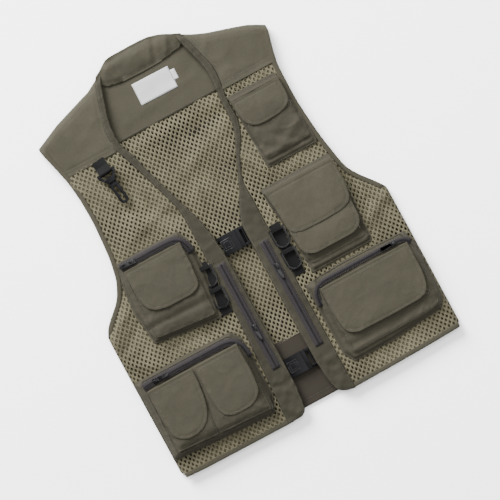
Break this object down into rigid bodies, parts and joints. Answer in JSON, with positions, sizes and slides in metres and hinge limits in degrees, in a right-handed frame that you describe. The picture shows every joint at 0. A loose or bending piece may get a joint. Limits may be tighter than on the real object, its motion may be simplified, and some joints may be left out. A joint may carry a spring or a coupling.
{
  "type": "fishing vest",
  "caption": "Sleeveless mesh fishing vest with yoke, flapped and zipped bellows pockets, side-release buckles, D-rings and a snap hook, lying on its back.",
  "frame": {"origin": "under the middle of the vest, on the surface that its back lies on", "axes": "+X to the wearer's left, +Y up the vest to the collar, +Z out of the chest, away from the surface"},
  "size_m": [0.562, 0.722, 0.0433],
  "materials": {
    "dark_twill": "matt woven cotton-polyester twill, olive brown",
    "twill": "matt woven cotton-polyester twill, a shade darker",
    "netting": "coarse knitted polyester net, khaki",
    "zip_tape": "woven tape with a nylon coil, grey brown",
    "webbing": "black woven webbing",
    "plastic": "black moulded plastic, slight sheen"
  },
  "bodies": {
    "root": {"back_yoke": "dark_twill", "collar": "dark_twill", "right_front_yoke": "dark_twill", "left_front_yoke": "dark_twill", "back_lower_band": "twill", "right_placket": "twill", "left_placket": "twill", "right_chest_pocket": "twill", "right_lower_pocket": "twill", "right_lower_twin_pocket": "twill", "left_upper_pocket": "twill", "left_middle_pocket": "twill", "left_lower_pocket": "twill", "back_mesh_panel": "netting", "right_front_mesh_panel": "netting", "left_front_mesh_panel": "netting", "right_chest_zip": "zip_tape", "right_lower_zip": "zip_tape", "left_lower_zip": "zip_tape", "right_placket_zip": "zip_tape", "left_placket_zip": "zip_tape", "upper_socket_strap": "webbing", "upper_plug_strap": "webbing", "lower_socket_strap": "webbing", "lower_plug_strap": "webbing", "right_ring_tape": "webbing", "left_ring_tape": "webbing", "snap_hook_strap": "webbing", "upper_buckle_socket": "plastic", "lower_buckle_socket": "plastic"},
    "right_chest_flap": {"right_chest_flap": "dark_twill"},
    "left_lower_flap": {"left_lower_flap": "dark_twill"},
    "left_upper_flap": {"left_upper_flap": "dark_twill"},
    "left_middle_outer_flap": {"left_middle_outer_flap": "dark_twill"},
    "left_middle_under_flap": {"left_middle_under_flap": "dark_twill"},
    "right_lower_outer_flap": {"right_lower_outer_flap": "dark_twill"},
    "right_lower_inner_flap": {"right_lower_inner_flap": "dark_twill"},
    "right_chest_zip_slider": {"right_chest_zip_slider": "plastic"},
    "right_chest_zip_puller": {"right_chest_zip_puller": "plastic"},
    "right_lower_zip_slider": {"right_lower_zip_slider": "plastic"},
    "right_lower_zip_puller": {"right_lower_zip_puller": "plastic"},
    "left_lower_zip_slider": {"left_lower_zip_slider": "plastic"},
    "left_lower_zip_puller": {"left_lower_zip_puller": "plastic"},
    "right_placket_zip_slider": {"right_placket_zip_slider": "plastic"},
    "right_placket_zip_puller": {"right_placket_zip_puller": "plastic"},
    "left_placket_zip_slider": {"left_placket_zip_slider": "plastic"},
    "left_placket_zip_puller": {"left_placket_zip_puller": "plastic"},
    "upper_buckle_plug": {"upper_buckle_plug": "plastic"},
    "upper_buckle_upper_press_arm": {"upper_buckle_upper_press_arm": "plastic"},
    "upper_buckle_lower_press_arm": {"upper_buckle_lower_press_arm": "plastic"},
    "lower_buckle_plug": {"lower_buckle_plug": "plastic"},
    "lower_buckle_upper_press_arm": {"lower_buckle_upper_press_arm": "plastic"},
    "lower_buckle_lower_press_arm": {"lower_buckle_lower_press_arm": "plastic"},
    "right_upper_d_ring": {"right_upper_d_ring": "plastic"},
    "right_lower_d_ring": {"right_lower_d_ring": "plastic"},
    "left_upper_d_ring": {"left_upper_d_ring": "plastic"},
    "left_lower_d_ring": {"left_lower_d_ring": "plastic"},
    "snap_hook_frame": {"snap_hook_frame": "plastic"},
    "snap_hook_body": {"snap_hook_body": "plastic"},
    "snap_hook_gate": {"snap_hook_gate": "plastic"}
  },
  "joints": [
    {"name": "right_chest_flap_hinge", "type": "hinge", "parent": "root", "child": "right_chest_flap", "pos_m": [-0.14475, 0.0147, 0.0346], "axis": [-1, 0, 0], "range_deg": [0, 140]},
    {"name": "left_lower_flap_hinge", "type": "hinge", "parent": "root", "child": "left_lower_flap", "pos_m": [0.1765, -0.1753, 0.0366], "axis": [-1, 0, 0], "range_deg": [0, 140]},
    {"name": "left_upper_flap_hinge", "type": "hinge", "parent": "root", "child": "left_upper_flap", "pos_m": [0.157, 0.189, 0.0306], "axis": [-1, 0, 0], "range_deg": [0, 140]},
    {"name": "left_middle_outer_flap_hinge", "type": "hinge", "parent": "root", "child": "left_middle_outer_flap", "pos_m": [0.15175, 0.0177, 0.0349], "axis": [-1, 0, 0], "range_deg": [0, 140]},
    {"name": "left_middle_under_flap_hinge", "type": "hinge", "parent": "root", "child": "left_middle_under_flap", "pos_m": [0.15025, -0.01, 0.0326], "axis": [-1, 0, 0], "range_deg": [0, 140]},
    {"name": "right_lower_outer_flap_hinge", "type": "hinge", "parent": "root", "child": "right_lower_outer_flap", "pos_m": [-0.2185, -0.1883, 0.0433], "axis": [-1, 0, 0], "range_deg": [0, 140]},
    {"name": "right_lower_inner_flap_hinge", "type": "hinge", "parent": "root", "child": "right_lower_inner_flap", "pos_m": [-0.1275, -0.1883, 0.0433], "axis": [-1, 0, 0], "range_deg": [0, 140]},
    {"name": "right_chest_zip_slide", "type": "slide", "parent": "root", "child": "right_chest_zip_slider", "axis": [1, 0, 0], "range_m": [-0.013, 0.0775]},
    {"name": "right_chest_zip_puller_hinge", "type": "hinge", "parent": "right_chest_zip_slider", "child": "right_chest_zip_puller", "pos_m": [-0.177, 0.023, 0.0366], "axis": [0, 1, 0], "range_deg": [0, 176]},
    {"name": "right_lower_zip_slide", "type": "slide", "parent": "root", "child": "right_lower_zip_slider", "axis": [1, 0, 0], "range_m": [-0.013, 0.147]},
    {"name": "right_lower_zip_puller_hinge", "type": "hinge", "parent": "right_lower_zip_slider", "child": "right_lower_zip_puller", "pos_m": [-0.24, -0.18, 0.0386], "axis": [0, -1, 0], "range_deg": [0, 176]},
    {"name": "left_lower_zip_slide", "type": "slide", "parent": "root", "child": "left_lower_zip_slider", "axis": [1, 0, 0], "range_m": [-0.14, 0.013]},
    {"name": "left_lower_zip_puller_hinge", "type": "hinge", "parent": "left_lower_zip_slider", "child": "left_lower_zip_puller", "pos_m": [0.24, -0.167, 0.0386], "axis": [0, 1, 0], "range_deg": [0, 176]},
    {"name": "right_placket_zip_slide", "type": "slide", "parent": "root", "child": "right_placket_zip_slider", "axis": [0, -1, 0], "range_m": [-0.119, 0.073]},
    {"name": "right_placket_zip_puller_hinge", "type": "hinge", "parent": "right_placket_zip_slider", "child": "right_placket_zip_puller", "pos_m": [-0.043, -0.182, 0.0222], "axis": [-1, 0, 0], "range_deg": [0, 176]},
    {"name": "left_placket_zip_slide", "type": "slide", "parent": "root", "child": "left_placket_zip_slider", "axis": [0, -1, 0], "range_m": [-0.042, 0.15]},
    {"name": "left_placket_zip_puller_hinge", "type": "hinge", "parent": "left_placket_zip_slider", "child": "left_placket_zip_puller", "pos_m": [0.043, -0.105, 0.0222], "axis": [-1, 0, 0], "range_deg": [0, 176]},
    {"name": "upper_buckle_pull", "type": "slide", "parent": "root", "child": "upper_buckle_plug", "axis": [1, 0, 0], "range_m": [0, 0.028]},
    {"name": "upper_buckle_upper_press", "type": "hinge", "parent": "upper_buckle_plug", "child": "upper_buckle_upper_press_arm", "pos_m": [0.0054, -0.0174, 0.0083], "axis": [0, 0, 1], "range_deg": [0, 7]},
    {"name": "upper_buckle_lower_press", "type": "hinge", "parent": "upper_buckle_plug", "child": "upper_buckle_lower_press_arm", "pos_m": [0.0054, -0.0426, 0.0083], "axis": [0, 0, -1], "range_deg": [0, 7]},
    {"name": "lower_buckle_pull", "type": "slide", "parent": "root", "child": "lower_buckle_plug", "axis": [1, 0, 0], "range_m": [0, 0.028]},
    {"name": "lower_buckle_upper_press", "type": "hinge", "parent": "lower_buckle_plug", "child": "lower_buckle_upper_press_arm", "pos_m": [0.0054, -0.2624, 0.0083], "axis": [0, 0, 1], "range_deg": [0, 7]},
    {"name": "lower_buckle_lower_press", "type": "hinge", "parent": "lower_buckle_plug", "child": "lower_buckle_lower_press_arm", "pos_m": [0.0054, -0.2876, 0.0083], "axis": [0, 0, -1], "range_deg": [0, 7]},
    {"name": "right_upper_d_ring_hinge", "type": "hinge", "parent": "root", "child": "right_upper_d_ring", "pos_m": [-0.073, -0.047, 0.01985], "axis": [-1, 0, 0], "range_deg": [0, 140]},
    {"name": "right_lower_d_ring_hinge", "type": "hinge", "parent": "root", "child": "right_lower_d_ring", "pos_m": [-0.073, -0.09, 0.01985], "axis": [-1, 0, 0], "range_deg": [0, 140]},
    {"name": "left_upper_d_ring_hinge", "type": "hinge", "parent": "root", "child": "left_upper_d_ring", "pos_m": [0.073, -0.047, 0.01985], "axis": [-1, 0, 0], "range_deg": [0, 140]},
    {"name": "left_lower_d_ring_hinge", "type": "hinge", "parent": "root", "child": "left_lower_d_ring", "pos_m": [0.073, -0.09, 0.01985], "axis": [-1, 0, 0], "range_deg": [0, 140]},
    {"name": "snap_hook_hang", "type": "hinge", "parent": "root", "child": "snap_hook_frame", "pos_m": [-0.144, 0.184, 0.02451], "axis": [-0.9925, -0.1219, 0], "range_deg": [0, 140]},
    {"name": "snap_hook_swivel", "type": "hinge", "parent": "snap_hook_frame", "child": "snap_hook_body", "pos_m": [-0.144, 0.184, 0.02451], "axis": [-0.1219, 0.9925, 0], "continuous": true},
    {"name": "snap_hook_gate_hinge", "type": "hinge", "parent": "snap_hook_body", "child": "snap_hook_gate", "pos_m": [-0.13459, 0.15287, 0.02451], "axis": [0, 0, -1], "range_deg": [0, 15], "stiffness_Nm_per_rad": 0.01, "springref_deg": -11.46}
  ],
  "couplings": [
    {"joint": "left_middle_under_flap_hinge", "follows": "left_middle_outer_flap_hinge", "ratio": 1},
    {"joint": "upper_buckle_upper_press", "follows": "upper_buckle_pull", "rad_per_m": 4.36},
    {"joint": "upper_buckle_lower_press", "follows": "upper_buckle_pull", "rad_per_m": 4.36},
    {"joint": "lower_buckle_upper_press", "follows": "lower_buckle_pull", "rad_per_m": 4.36},
    {"joint": "lower_buckle_lower_press", "follows": "lower_buckle_pull", "rad_per_m": 4.36}
  ]
}
